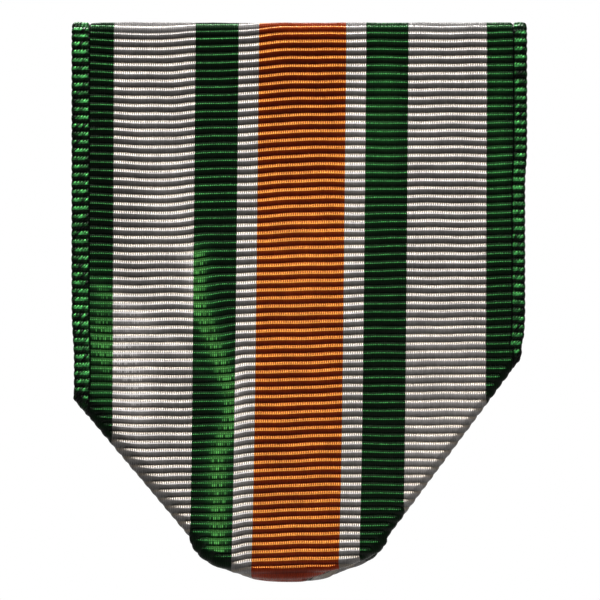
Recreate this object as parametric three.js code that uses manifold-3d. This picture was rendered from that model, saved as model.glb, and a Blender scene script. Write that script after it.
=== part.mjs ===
// A folded service-medal ribbon with its hidden pin-back brooch, in millimetres.
// Seen from the front, +X is to the right, +Z is up, and +Y points back into the garment.
// The origin is on the closed pin's axis, which the drape hangs from, midway between the ribbon's edges.
import * as THREE from "three";
import { mergeVertices } from "three/addons/utils/BufferGeometryUtils.js";
import Module from "manifold-3d";

const wasm = await Module();
wasm.setup();

// ---- Driving dimensions ----
const INCH = 25.4;
const FIT_GAP = 0.05; // left between pieces that are pressed together
const RUNNING_GAP = 0.06; // left between a pin and the bore that turns on it

const RIBBON_WIDTH = 1.375 * INCH; // the standard full-size medal ribbon
const RIBBON_THICK = 0.4;
const DRAPE_HEIGHT = 42.9;
const RIBBON_TOP_Z = 4.6;
const LEFT_SHOULDER_Z = -24.7; // where the left edge turns into its diagonal fold
const RIGHT_SHOULDER_Z = -20.8;
const LOWER_CORNER_Z = -34.8; // where the diagonals meet the bottom fold, which is half an ellipse
const LOWER_LEFT_X = -8.7;
const LOWER_RIGHT_X = 6.8;
const TOP_ROLL_HEIGHT = 2.2; // of the ribbon's soft roll over the inner bar
const HEM_END_Z = -5.6; // the hem's lower end, behind the inner bar
const BACK_END_Z = 3.0; // the back panel's upper end, under the back plate
const FLAP_GAP = 0.1; // between a turned-in flap and the panel that it lies on

const PLATE_WIDTH = 33;
const PLATE_HEIGHT = 7;
const PLATE_THICK = 0.5;
const PLATE_CORNER = 1.2;
const PLATE_BEVEL = 0.12;
const PLATE_BACK_Y = -1.6;

const BAR_WIDTH = 33.6;
const BAR_THICK = 1.1;
const BAR_BOTTOM_Z = -3.75;

const RIVET_X = 7.5;
const RIVET_Z = 2.05;
const RIVET_SHANK_R = 0.5;
const RIVET_HEAD_R = 0.95;
const RIVET_DOME = 0.34;

const FOOT_THICK = 0.4; // of the hinge's and the catch's feet, which are soldered to the plate
const FOOT_HEIGHT = 3.8;
const HINGE_X = -13.2;
const HINGE_FOOT_WIDTH = 3.8;
const EAR_R = 1.1;
const EAR_THICK = 0.4;
const EAR_INNER_Z = 1.2;
const HINGE_PIN_R = 0.42;
const HINGE_HEAD_R = 0.78;
const HINGE_DOME = 0.28;
const KNUCKLE_R = 0.95;

const STEM_R = 0.42;
const STEM_TAPER_X = 5; // where the stem starts to taper
const STEM_THIN_X = 12.4;
const STEM_THIN_R = 0.28;
const STEM_TIP_X = 14.8;
const STEM_TIP_R = 0.06;

const HOUSING_X = [11.8, 14.1];
const HOUSING_R = 1.58;
const HOUSING_OPENING = 0.72; // half the angle of its gap, in radians
const ROTOR_R = 1.08;
const ROTOR_RUNNING_GAP = 0.07;
const ROTOR_BORE_R = 0.56;
const ROTOR_SLOT = 1.0;
const ROTOR_X = [11.45, 15.05];
const ROTOR_LIP = 0.25; // width of the thin lip at the rotor's inner end
const ROTOR_FLANGE_R = 1.32;
const TAB_HALF_WIDTH = 0.24;
const TAB_REACH = 2.5;
const TAB_KNOB_R = 0.36;

const THREAD_R = 0.12;
const SEAM_Z = -4.7;
const STITCHES = 11;
const STITCH_PITCH = 2.8;
const STITCH_SHOWN = 1.7; // the part of each pitch that lies on the outside

// ---- Layers, front to back ----
const plateY = [PLATE_BACK_Y - PLATE_THICK, PLATE_BACK_Y];
const backPanelY = layerInFrontOf(plateY, RIBBON_THICK);
const hemY = layerInFrontOf(backPanelY, RIBBON_THICK);
const barY = layerInFrontOf(hemY, BAR_THICK);
const frontPanelY = layerInFrontOf(barY, RIBBON_THICK);
const footY = [PLATE_BACK_Y, PLATE_BACK_Y + FOOT_THICK];

const halfWidth = RIBBON_WIDTH / 2;
const drapeDepth = backPanelY[1] - frontPanelY[0];
const bottomZ = RIBBON_TOP_Z - DRAPE_HEIGHT;
const pocketTopZ = HEM_END_Z - 1.4; // below this the drape is an open pocket
const rollZ = RIBBON_TOP_Z - TOP_ROLL_HEIGHT;

function layerInFrontOf([frontY], thickness) {
  return [frontY - FIT_GAP - thickness, frontY - FIT_GAP];
}

// ---- Solids and plain shapes ----

// A closed geometry as a manifold-3d solid.
function solid(geometry) {
  const bare = geometry.index ? geometry.toNonIndexed() : geometry.clone();
  bare.deleteAttribute("normal");
  bare.deleteAttribute("uv");
  const merged = mergeVertices(bare, 1e-4);
  return new wasm.Manifold(
    new wasm.Mesh({
      numProp: 3,
      vertProperties: merged.attributes.position.array,
      triVerts: new Uint32Array(merged.index.array),
    }),
  );
}

// A manifold-3d solid as a geometry.
function geometryOf(body) {
  const mesh = body.getMesh();
  const geometry = new THREE.BufferGeometry();
  geometry.setAttribute("position", new THREE.BufferAttribute(mesh.vertProperties, 3));
  geometry.setIndex(new THREE.BufferAttribute(mesh.triVerts, 1));
  geometry.computeVertexNormals();
  return geometry;
}

// An outline drawn in X and Z, filling a stretch of Y. A bevel, if any, stands outside that stretch.
function slab(shape, y, options = {}) {
  const settings = { depth: y[1] - y[0], bevelEnabled: false, curveSegments: 12, ...options };
  const made = new THREE.ExtrudeGeometry(shape, settings);
  return solid(made.rotateX(Math.PI / 2).translate(0, y[1], 0));
}

// The slab option that rounds an outline's edges and keeps its size.
function edgeOf(radius) {
  return { bevelEnabled: true, bevelThickness: radius, bevelSize: radius, bevelOffset: -radius };
}

// An outline drawn in Y and Z, filling a stretch of X.
function alongX(shape, x, curveSegments) {
  const made = new THREE.ExtrudeGeometry(shape, { depth: x[1] - x[0], bevelEnabled: false, curveSegments });
  const turn = new THREE.Matrix4().makeBasis(
    new THREE.Vector3(0, 1, 0),
    new THREE.Vector3(0, 0, 1),
    new THREE.Vector3(1, 0, 0),
  );
  return solid(made.applyMatrix4(turn).translate(x[0], 0, 0));
}

function box(x, y, z) {
  const made = new THREE.BoxGeometry(x[1] - x[0], y[1] - y[0], z[1] - z[0]);
  return solid(made.translate((x[0] + x[1]) / 2, (y[0] + y[1]) / 2, (z[0] + z[1]) / 2));
}

// A profile of (radius, distance along the axis) points, turned about an axis through a point.
function turned(axis, points, centre, segments = 24) {
  const profile = points.map(([radius, along]) => new THREE.Vector2(radius, along));
  const made = new THREE.LatheGeometry(profile, segments);
  if (axis === "x") made.rotateZ(-Math.PI / 2);
  if (axis === "z") made.rotateX(Math.PI / 2);
  return solid(made.translate(...centre));
}

// A round bar along one axis, between two distances from its centre.
function rod(axis, radius, from, to, centre, segments = 24) {
  return turned(axis, [[0, from], [radius, from], [radius, to], [0, to]], centre, segments);
}

// The points of a low dome that stands on its base, up to its top on the axis.
function dome(radius, base, height, steps = 5) {
  const rim = Array.from({ length: steps }, (_, i) => (i / steps) * (Math.PI / 2));
  return [...rim.map((t) => [radius * Math.cos(t), base + height * Math.sin(t)]), [0, base + height]];
}

function roundedRect(width, height, radius) {
  const [w, h] = [width / 2 - radius, height / 2 - radius];
  const shape = new THREE.Shape();
  shape.absarc(w, -h, radius, -Math.PI / 2, 0);
  shape.absarc(w, h, radius, 0, Math.PI / 2);
  shape.absarc(-w, h, radius, Math.PI / 2, Math.PI);
  shape.absarc(-w, -h, radius, Math.PI, 1.5 * Math.PI);
  shape.closePath();
  return shape;
}

// ---- Ribbon ----

const folds = [
  { shoulderZ: LEFT_SHOULDER_Z, cornerX: LOWER_LEFT_X },
  { shoulderZ: RIGHT_SHOULDER_Z, cornerX: LOWER_RIGHT_X },
];

// The drape's front outline, moved inwards by inset.
// Its diagonals run on past the ribbon's edges, where the ribbon's width cuts them off.
function drapeOutline(inset) {
  const reach = halfWidth + 4;
  const [left, right] = folds.map(({ shoulderZ, cornerX }) => {
    const side = Math.sign(cornerX);
    const run = halfWidth - Math.abs(cornerX);
    const rise = shoulderZ - LOWER_CORNER_Z;
    const outerZ = LOWER_CORNER_Z + (rise / run) * (reach - Math.abs(cornerX));
    return { x: side * reach, z: outerZ + (inset * Math.hypot(run, rise)) / run };
  });
  const shape = new THREE.Shape();
  shape.moveTo(right.x, right.z);
  shape.lineTo(right.x, pocketTopZ + 5);
  shape.lineTo(left.x, pocketTopZ + 5);
  shape.lineTo(left.x, left.z);
  const middleX = (LOWER_LEFT_X + LOWER_RIGHT_X) / 2;
  const across = (LOWER_RIGHT_X - LOWER_LEFT_X) / 2 - inset;
  const down = LOWER_CORNER_Z - bottomZ - inset;
  shape.absellipse(middleX, LOWER_CORNER_Z, across, down, Math.PI, 2 * Math.PI);
  shape.closePath();
  return shape;
}

// The drape's outline as a pillow with a full-round rim, smaller than the drape by inset on every side.
function pillow(inset) {
  const flatRim = 0.04;
  const rim = (drapeDepth - flatRim) / 2 - inset;
  const middleY = (frontPanelY[0] + backPanelY[1]) / 2;
  const y = [middleY - flatRim / 2, middleY + flatRim / 2];
  return slab(drapeOutline(inset), y, { ...edgeOf(rim), bevelSegments: 3 });
}

// The hem, the roll over the inner bar and the front panel's top, as one strip seen from the side.
function topStrip(lowZ) {
  const middleY = (frontPanelY[0] + hemY[1]) / 2;
  const outerReach = (hemY[1] - frontPanelY[0]) / 2;
  const innerReach = outerReach - RIBBON_THICK;
  const innerHeight = TOP_ROLL_HEIGHT - RIBBON_THICK;
  const shape = new THREE.Shape();
  shape.moveTo(hemY[1], HEM_END_Z);
  shape.absellipse(middleY, rollZ, outerReach, TOP_ROLL_HEIGHT, 0, Math.PI, false, 0);
  shape.lineTo(frontPanelY[0], lowZ);
  shape.lineTo(frontPanelY[1], lowZ);
  shape.absellipse(middleY, rollZ, innerReach, innerHeight, Math.PI, 0, true, 0);
  shape.lineTo(hemY[0], HEM_END_Z);
  shape.closePath();
  return alongX(shape, [-halfWidth, halfWidth], 8);
}

// The triangle of ribbon that is turned in behind one diagonal fold.
function foldedFlap({ shoulderZ, cornerX }, y) {
  const side = Math.sign(cornerX);
  const innerX = cornerX * 0.55;
  const points = [
    [cornerX - side * 0.25, LOWER_CORNER_Z + 0.6],
    [side * (halfWidth - 0.3), shoulderZ + 0.2],
    [innerX, shoulderZ - 1],
    [innerX, LOWER_CORNER_Z + 0.9],
  ].map(([x, z]) => new THREE.Vector2(x, z));
  return slab(new THREE.Shape(side > 0 ? points : points.reverse()), y);
}

function ribbon() {
  const overlap = 0.5;
  const strip = [-halfWidth, halfWidth];
  const pocket = box(strip, [-10, 10], [bottomZ - 1, pocketTopZ]);
  let body = pillow(0).subtract(pillow(RIBBON_THICK)).intersect(pocket);
  body = body.add(topStrip(pocketTopZ - overlap));
  body = body.add(box(strip, backPanelY, [pocketTopZ - overlap, BACK_END_Z]));

  // Each panel folds in on itself along the diagonals, so the pocket is open between its two folds.
  const frontFlapY = [frontPanelY[1] + FLAP_GAP, frontPanelY[1] + FLAP_GAP + RIBBON_THICK];
  const backFlapY = [backPanelY[0] - FLAP_GAP - RIBBON_THICK, backPanelY[0] - FLAP_GAP];
  const slitX = [-halfWidth - 1, halfWidth + 1];
  body = body.subtract(box(slitX, [frontFlapY[1], backFlapY[0]], [LOWER_CORNER_Z + 0.4, pocketTopZ]));
  for (const fold of folds) {
    body = body.add(foldedFlap(fold, frontFlapY));
    body = body.add(foldedFlap(fold, backFlapY));
  }

  const sewn = [hemY[0] - 0.2, backPanelY[1] + 0.2];
  for (const x of [-RIVET_X, RIVET_X]) {
    body = body.subtract(rod("y", RIVET_SHANK_R + FIT_GAP, ...sewn, [x, 0, RIVET_Z], 12));
  }
  for (const x of stitchStarts().flatMap((start) => [start, start + STITCH_SHOWN])) {
    body = body.subtract(rod("y", THREAD_R + FIT_GAP, ...sewn, [x, 0, SEAM_Z], 6));
  }
  return body;
}

// ---- Seam thread: one running stitch through the back panel and the hem ----

function stitchStarts() {
  const first = -((STITCHES - 1) * STITCH_PITCH + STITCH_SHOWN) / 2;
  return Array.from({ length: STITCHES }, (_, i) => first + i * STITCH_PITCH);
}

function seamThread() {
  const outerY = backPanelY[1] + THREAD_R + FIT_GAP;
  const innerY = hemY[0] - THREAD_R - FIT_GAP;
  const through = [innerY - THREAD_R, outerY + THREAD_R];
  const pieces = [];
  for (const x of stitchStarts()) {
    const end = x + STITCH_SHOWN;
    pieces.push(rod("x", THREAD_R, x - THREAD_R, end + THREAD_R, [0, outerY, SEAM_Z], 8));
    pieces.push(rod("y", THREAD_R, ...through, [x, 0, SEAM_Z], 8));
    pieces.push(rod("y", THREAD_R, ...through, [end, 0, SEAM_Z], 8));
  }
  for (const x of stitchStarts().slice(1)) {
    const hidden = STITCH_PITCH - STITCH_SHOWN;
    pieces.push(rod("x", THREAD_R, x - hidden, x, [0, innerY, SEAM_Z], 8));
  }
  return pieces.reduce((body, piece) => body.add(piece));
}

// ---- Brooch ----

// The stiffening bar inside the ribbon's top fold: a flat bar with round edges.
function innerBar() {
  const middleY = (barY[0] + barY[1]) / 2;
  const half = BAR_THICK / 2;
  const topReach = TOP_ROLL_HEIGHT - RIBBON_THICK - FIT_GAP;
  const shape = new THREE.Shape();
  shape.absellipse(middleY, rollZ, half, topReach, 0, Math.PI, false, 0);
  shape.absarc(middleY, BAR_BOTTOM_Z + half, half, Math.PI, 2 * Math.PI);
  shape.closePath();
  return withRivetHoles(alongX(shape, [-BAR_WIDTH / 2, BAR_WIDTH / 2], 8), barY);
}

function backPlate() {
  const y = [plateY[0] + PLATE_BEVEL, plateY[1] - PLATE_BEVEL];
  const outline = roundedRect(PLATE_WIDTH, PLATE_HEIGHT, PLATE_CORNER);
  const plate = slab(outline, y, { ...edgeOf(PLATE_BEVEL), bevelSegments: 2, curveSegments: 6 });
  return withRivetHoles(plate, plateY);
}

function withRivetHoles(body, y) {
  const holes = [-RIVET_X, RIVET_X].map((x) =>
    rod("y", RIVET_SHANK_R + FIT_GAP, y[0] - 1, y[1] + 1, [x, 0, RIVET_Z]),
  );
  return holes.reduce((drilled, hole) => drilled.subtract(hole), body);
}

// A rivet with its dome on the plate and its other end flush with the inner bar's front.
function plateRivet(x) {
  const underHead = PLATE_BACK_Y + FIT_GAP / 5;
  const shank = [[0, barY[0]], [RIVET_SHANK_R, barY[0]], [RIVET_SHANK_R, underHead]];
  return turned("y", [...shank, ...dome(RIVET_HEAD_R, underHead, RIVET_DOME)], [x, 0, RIVET_Z]);
}

// A bent bracket whose two ears carry the hinge rivet.
function hingeBracket() {
  const half = HINGE_FOOT_WIDTH / 2;
  let body = box([HINGE_X - half, HINGE_X + half], footY, [-FOOT_HEIGHT / 2, FOOT_HEIGHT / 2]);
  const ear = new THREE.Shape();
  ear.moveTo(HINGE_X - EAR_R, footY[0] + FOOT_THICK / 2);
  ear.lineTo(HINGE_X + EAR_R, footY[0] + FOOT_THICK / 2);
  ear.absarc(HINGE_X, 0, EAR_R, 0, Math.PI);
  ear.closePath();
  for (const z of [-EAR_INNER_Z - EAR_THICK, EAR_INNER_Z]) {
    const settings = { depth: EAR_THICK, bevelEnabled: false, curveSegments: 14 };
    body = body.add(solid(new THREE.ExtrudeGeometry(ear, settings).translate(0, 0, z)));
  }
  return body.subtract(rod("z", HINGE_PIN_R + RUNNING_GAP, -3, 3, [HINGE_X, 0, 0]));
}

// The hinge's rivet, domed at both ends.
function hingeRivet() {
  const underHead = EAR_INNER_Z + EAR_THICK + FIT_GAP / 5;
  const upper = dome(HINGE_HEAD_R, underHead, HINGE_DOME);
  const lower = upper.map(([radius, along]) => [radius, -along]).reverse();
  const shank = [[HINGE_PIN_R, -underHead], [HINGE_PIN_R, underHead]];
  return turned("z", [...lower, ...shank, ...upper], [HINGE_X, 0, 0]);
}

// The pin: a knuckle that turns on the hinge rivet, and a stem that tapers to a point.
function pinStem() {
  const topZ = EAR_INNER_Z - RUNNING_GAP;
  const knuckle = rod("z", KNUCKLE_R, -topZ, topZ, [HINGE_X, 0, 0], 28);
  const profile = [
    [0, HINGE_X],
    [STEM_R, HINGE_X],
    [STEM_R, STEM_TAPER_X],
    [STEM_THIN_R, STEM_THIN_X],
    [STEM_TIP_R, STEM_TIP_X - STEM_TIP_R],
    [0, STEM_TIP_X],
  ];
  const bore = rod("z", HINGE_PIN_R + RUNNING_GAP, -3, 3, [HINGE_X, 0, 0]);
  return knuckle.add(turned("x", profile, [0, 0, 0], 20)).subtract(bore);
}

// The catch's housing: a ring that is open at the back, on a foot.
function catchHousing() {
  const inner = ROTOR_R + ROTOR_RUNNING_GAP;
  const shape = new THREE.Shape();
  shape.absarc(0, 0, HOUSING_R, HOUSING_OPENING, 2 * Math.PI - HOUSING_OPENING);
  shape.absarc(0, 0, inner, 2 * Math.PI - HOUSING_OPENING, HOUSING_OPENING, true);
  shape.closePath();
  const foot = box(HOUSING_X, footY, [-FOOT_HEIGHT / 2, FOOT_HEIGHT / 2]);
  const room = rod("x", inner, HOUSING_X[0] - 1, HOUSING_X[1] + 1, [0, 0, 0], 40);
  return alongX(shape, HOUSING_X, 20).add(foot).subtract(room);
}

// The catch's turning safety sleeve, open. Its tab turns the slot away from the housing's gap.
function catchRotor() {
  const flangeX = HOUSING_X[1] + 0.1;
  const [startX, endX] = ROTOR_X;
  const axis = [0, 0, 0];
  const sleeve = rod("x", ROTOR_R, startX, endX, axis, 32);
  const lip = rod("x", ROTOR_FLANGE_R, startX, startX + ROTOR_LIP, axis, 32);
  const flange = rod("x", ROTOR_FLANGE_R, flangeX, endX, axis, 32);
  const tab = box([flangeX, endX], [-TAB_HALF_WIDTH, TAB_HALF_WIDTH], [ROTOR_R - 0.2, TAB_REACH]);
  const knob = rod("x", TAB_KNOB_R, flangeX, endX, [0, 0, TAB_REACH], 16);
  const bore = rod("x", ROTOR_BORE_R, startX - 1, endX + 1, axis);
  const slot = box([startX - 1, endX + 1], [0, 3], [-ROTOR_SLOT / 2, ROTOR_SLOT / 2]);
  const whole = [lip, flange, tab, knob].reduce((body, piece) => body.add(piece), sleeve);
  return whole.subtract(bore).subtract(slot);
}

// ---- Assembly ----

const fabric = new THREE.MeshStandardMaterial({ color: 0x7d8478, roughness: 0.6, metalness: 0 });
const thread = new THREE.MeshStandardMaterial({ color: 0x1d5a2c, roughness: 0.7, metalness: 0 });
const brass = new THREE.MeshStandardMaterial({ color: 0xb08d4a, roughness: 0.35, metalness: 1 });
const steel = new THREE.MeshStandardMaterial({ color: 0xb9bcc0, roughness: 0.25, metalness: 1 });

const group = new THREE.Group();

function place(name, body, material) {
  const mesh = new THREE.Mesh(geometryOf(body), material);
  mesh.name = name;
  group.add(mesh);
}

place("ribbon", ribbon(), fabric);
place("seam_thread", seamThread(), thread);
place("inner_bar", innerBar(), brass);
place("back_plate", backPlate(), brass);
place("plate_rivet_left", plateRivet(-RIVET_X), brass);
place("plate_rivet_right", plateRivet(RIVET_X), brass);
place("hinge_bracket", hingeBracket(), brass);
place("hinge_rivet", hingeRivet(), steel);
place("pin_stem", pinStem(), steel);
place("catch_housing", catchHousing(), brass);
place("catch_rotor", catchRotor(), brass);

export default group;
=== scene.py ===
"""The looks of a folded medal ribbon with a pin-back brooch behind its top, built round the CAD frame.

Lengths in this file are millimetres until a mesh or a light is made, where MM turns them into metres.
"""

import math
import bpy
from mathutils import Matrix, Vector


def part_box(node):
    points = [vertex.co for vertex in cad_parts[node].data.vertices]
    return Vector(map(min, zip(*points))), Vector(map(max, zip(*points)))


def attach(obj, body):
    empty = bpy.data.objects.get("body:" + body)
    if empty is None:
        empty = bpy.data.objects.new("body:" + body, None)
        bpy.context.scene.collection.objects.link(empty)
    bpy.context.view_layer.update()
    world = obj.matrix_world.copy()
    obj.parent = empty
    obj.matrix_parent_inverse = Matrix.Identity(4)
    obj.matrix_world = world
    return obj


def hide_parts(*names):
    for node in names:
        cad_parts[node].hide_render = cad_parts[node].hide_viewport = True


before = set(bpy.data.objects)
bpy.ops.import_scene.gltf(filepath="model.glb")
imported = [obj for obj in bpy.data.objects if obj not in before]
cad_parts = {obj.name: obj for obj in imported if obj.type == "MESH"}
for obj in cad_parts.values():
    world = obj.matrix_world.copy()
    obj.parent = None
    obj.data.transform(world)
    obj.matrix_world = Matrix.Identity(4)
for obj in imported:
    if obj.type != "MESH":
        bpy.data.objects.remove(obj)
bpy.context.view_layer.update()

from types import SimpleNamespace

import bmesh
import bpy
import numpy as np

MM = 0.001


def corners_mm(node):
    """A CAD node's lowest and highest corners, in millimetres."""
    return [np.array(corner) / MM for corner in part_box(node)]


# ---- The ribbon's sizes ----
LOW, HIGH = corners_mm("ribbon")
HALF_WIDTH = HIGH[0]
TOP_Z, BOTTOM_Z = HIGH[2], LOW[2]
SHEET = 0.4
FRONT_Y = LOW[1] + SHEET / 2  # the middle of each layer's thickness
BACK_Y = HIGH[1] - SHEET / 2
HEM_GAP = 0.05
HEM_Y = BACK_Y - SHEET - HEM_GAP
MIDDLE_Y = (FRONT_Y + BACK_Y) / 2
HEM_END_Z = -5.6
BACK_END_Z = 3.0
ROLL_Z = TOP_Z - 1.5  # where the roll over the inner bar starts
ROLL_HEIGHT = TOP_Z - SHEET / 2 - ROLL_Z
ROLL_REACH = (HEM_Y - FRONT_Y) / 2
ROLL_POINTS = 241

LEFT_SHOULDER_Z = -23.95
RIGHT_SHOULDER_Z = -20.35
LOWER_CORNER_Z = -34.8
LOWER_LEFT_X = -8.35
LOWER_RIGHT_X = 6.7
ARC_MIDDLE_X = (LOWER_LEFT_X + LOWER_RIGHT_X) / 2
ARC_HALF_WIDTH = (LOWER_RIGHT_X - LOWER_LEFT_X) / 2
ARC_HEIGHT = LOWER_CORNER_Z - BOTTOM_Z
ARC_POWER = 1.06  # makes the bottom arc a little slimmer than half an ellipse
ARC_POINTS = 97
DIAGONAL_RUN = 20  # how far the outline's diagonals run from their lower corners
DIAGONAL_INSET = 0.45  # from the drape's outline in to where its flat panels end
ARC_INSET = 0.9
LAST_ROW_Z = BOTTOM_Z + 1.15  # the lowest row of the flat panels
SHOULDER_RUN = 9  # along the panels' edge from a shoulder, over which the strip turns to face outward
ROUND_SHARE, TURNED_SHARE = 0.3, 0.8  # of the bottom's half width: round up to here, turned in from here
BOTTOM_BEND = 0.95  # radius of the bottom fold
BOTTOM_TURN = 0.95 * math.pi / 2  # which each layer makes there, just short of meeting the other one
FOLD_R = 0.26
FOLD_STEPS = 7
FLAP_DEPTH = 4.2  # how far the turned-in corners reach in behind the diagonal folds
LEAST_FLAP = 0.3
FLAP_SHARES = (0.12, 0.45, 1.0)  # where the mesh's rows cross a turned-in corner
FLAP_GAP = 0.15  # half of the gap between the two flaps at their inner end
PEEK = 0.4  # how far the back layer shows below the front layer at the lower right
TURNED_IN_SHIFT = 7.6  # there the corner's wide white stripe has come in over the narrow ones

# ---- The weave ----
RIB_PITCH = 0.627
RIB_ROWS = (0.0, 0.1, 0.28, 0.5, 0.72, 0.9)  # where the mesh's rows cross one rib
FIRST_ROW_GAP, LAST_ROW_GAP = 0.04, 0.02  # the closest that a rib's rows come to the ends of a panel
RIB_ROUNDNESS = 0.62
STEP_DROP = 0.115  # half of how far the ribs step down along the crease
HALF_GROOVE = 0.08  # half the sheet's thickness in a groove, on a rib's crest and on its inner side
HALF_CREST = 0.29
HALF_INNER = 0.18
WARP_PITCH = 0.14
CROWDING = 0.24  # how much the ribs below the top roll close up, in all
CROWDED_RIB = -2  # the rib at the top roll from which they close up
CROWDED_OVER = 0.9  # ribs
LEFT_SELVEDGE = 1.3
RIGHT_SELVEDGE = 1.05
SELVEDGE_BLEND = 0.03  # half of the width over which a selvedge's ribs take over
SELVEDGE_THREAD = 0.25  # pitch of the coarse threads in the selvedges
SELVEDGE_SLANT = 1.6  # how many threads they lean across in one rib
SELVEDGE_KNOBS = 0.24  # pitch of the swellings along a selvedge's ribs
LEFT_OFFSET = 0.5  # how far the selvedges' ribs lie above the others, in ribs
RIGHT_OFFSET = 0.1
LOOP_OUT = 0.05  # how far the weft's loops stand out at the edges
LOOP_IN = 0.3  # and how far in from the edges they push the ribs with them
EDGE_ROUND = 0.22
CUT_ROUND = 0.15
STRIPES = (3.34, 4.89, 8.14, 14.26)  # half widths out to each change of colour
EDGE_COLUMNS = (0, 0.03, 0.1, 0.22, 0.42, 0.66)  # the mesh's columns in from an edge
JOIN_COLUMNS = (-0.25, -0.12, -0.04, 0.04, 0.15, 0.9)  # and about a selvedge's inner border
MIDDLE_COLUMNS = 50
INNER_EDGE_COLUMNS = (0, 3, 7)  # which of them the sheet's inner side also has near its edges
INNER_STEP = 5  # and between those it has every fifth
PINNED_SHARE = 1 / 12  # of the width, over which a woven edge keeps the stripes in place


def fade(value, start, end):
    """An even step from 0, where value is at start, to 1 where it is at end and past it."""
    t = np.clip((value - start) / (end - start), 0, 1)
    return t * t * (3 - 2 * t)


def hill(distance, width):
    """1 at distance 0, sinking evenly to 0 on both sides."""
    return np.exp(-((distance / width) ** 2))


# ---- Where the woven strip runs ----


def roll_table():
    """The roll over the inner bar, from the front panel round to the hem: arc length, turn, y and z."""
    turn = np.linspace(0, math.pi, ROLL_POINTS)
    y = (FRONT_Y + HEM_Y) / 2 - ROLL_REACH * np.cos(turn)
    z = ROLL_Z + ROLL_HEIGHT * np.sin(turn)
    arc = np.concatenate([[0], np.cumsum(np.hypot(np.diff(y), np.diff(z)))])
    return arc, turn, y, z


ROLL_ARC, ROLL_TURN, ROLL_Y, ROLL_LINE_Z = roll_table()
STRIP_START = -(ROLL_ARC[-1] + ROLL_Z - HEM_END_Z)  # the hem's end, measured from the front panel's top
STRIP_LAST = ROLL_Z - LAST_ROW_Z
BACK_TOP = ROLL_Z - BACK_END_Z


def rib_place(v):
    """Distance down the strip of a place v ribs along it: the ribs are closer where they leave the roll."""
    even = RIB_PITCH * v
    closed_up = 1 - np.exp(-np.maximum(v - CROWDED_RIB, 0) / CROWDED_OVER)
    opened_again = fade(even, 5, 20)
    return even - CROWDING * (closed_up - opened_again)


def sag(x, s):
    """How far the ribs at x hang below where they cross the ribbon's middle, s down the strip."""
    lower = fade(s, 6.7, 18.7)
    # In the upper half the ribs fall steeply left of the middle, and lower down they lean gently.
    upper_middle = 0.19 * (math.tanh(1.4) - np.tanh((x + 2.5) / 1.8))
    lower_middle = -0.23 * np.tanh(x / 7)
    middle = upper_middle * (1 - lower) + lower_middle * lower
    # They step down at the crease, which moves to the right on its way down.
    step_x = -8.8 + 4.2 * fade(s, 9.7, 26.7)
    step = STEP_DROP * (1 - np.tanh((x - step_x) / (0.9 - 0.35 * lower)))
    # They bend up at the left edge and down at the lower right, and all have slight waves.
    left = -0.16 * fade(x, -12, -16) * (1 - 0.5 * lower)
    right = 0.2 * fade(s, 24.7, 32.7) * fade(x, 3, 11) - 0.05 * fade(x, 14.5, 16)
    waves = 0.02 * np.sin(0.75 * x + 0.3 * s) + 0.014 * np.sin(1.7 * x - 0.55 * s + 1)
    return middle + step + left + right + waves


def stripe_shift(x, z):
    """How far the stripes have drifted to the left of where they were woven, most in the middle."""
    down = np.clip((TOP_Z - 2.2 - z) / 40, 0, 1.1)
    return (0.45 * down + 0.18 * down**6 - 0.26) * (1 - (x / HALF_WIDTH) ** 2)


def strip_point(s):
    """y, z and the outward normal of the middle of the front panel, the roll and the hem at s."""
    arc = -s
    turn = np.interp(arc, ROLL_ARC, ROLL_TURN)
    y = np.interp(arc, ROLL_ARC, ROLL_Y)
    z = np.interp(arc, ROLL_ARC, ROLL_LINE_Z)
    z = np.where(s > 0, ROLL_Z - s, z)
    z = np.where(arc > ROLL_ARC[-1], ROLL_Z - (arc - ROLL_ARC[-1]), z)
    normal_y = -np.cos(turn) / ROLL_REACH
    normal_z = np.sin(turn) / ROLL_HEIGHT
    size = np.hypot(normal_y, normal_z)
    return y, z, normal_y / size, normal_z / size


def crease_distance(x, z):
    """How far x is to the right of the long soft crease, which runs down from the left edge."""
    return x - np.interp(z, (-24.2, -11.85), (-4.9, -19.85))


def drape_wave(x, z):
    """How far the front panel's soft crease and its belly stand forward."""
    right_of_crease = crease_distance(x, z)
    along = fade(z, -37, -31) * fade(z, -10, -16)
    ridge = hill(right_of_crease, 1.5) * along
    hollow = hill(right_of_crease + 3.2, 2.2) * along
    belly = fade(z, -6, -16) * fade(z, -37, -27) * np.cos(x * math.pi / 2 / HALF_WIDTH)
    return 0.16 * ridge - 0.1 * hollow + 0.15 * belly


# ---- Where painted light and shade fall on the front panel's ribs ----
PAINTED_LIGHT_PATCHES = (  # x, z, half width, half height, how much more painted light the ribs get there (below 0, painted shade)
    (-10.0, -8.7, 2.2, 5.0, 0.3),
    (-13.0, -11.0, 1.5, 5.0, -0.25),
    (-13.3, -20.5, 1.7, 4.5, 0.75),
    (-12.3, -24.5, 1.3, 3.6, 0.5),
    (0.0, 0.5, 4.0, 4.0, -0.2),
    (0.0, -14.0, 4.0, 6.0, 0.25),
    (4.3, -7.5, 1.2, 6.0, 0.35),
    (6.6, -2.0, 1.6, 7.0, 0.45),
    (15.2, -4.0, 1.0, 9.0, 0.45),
    (-15.5, -19.5, 1.2, 5.0, 0.6),
    (-15.5, -7.5, 1.2, 6.0, -0.3),
)
FOLD_SHADE = 0.15  # the ribs are painted in shade this far in from the folds, before the painted light starts to come back


def glint_distance(x, z):
    """How far x is to the right of the narrow band of painted glints on the bent ribs."""
    return x - np.interp(z, (-24, -16.5), (-5.15, -7.9)) + 1.1 * fade(z, -25, -29)


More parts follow.
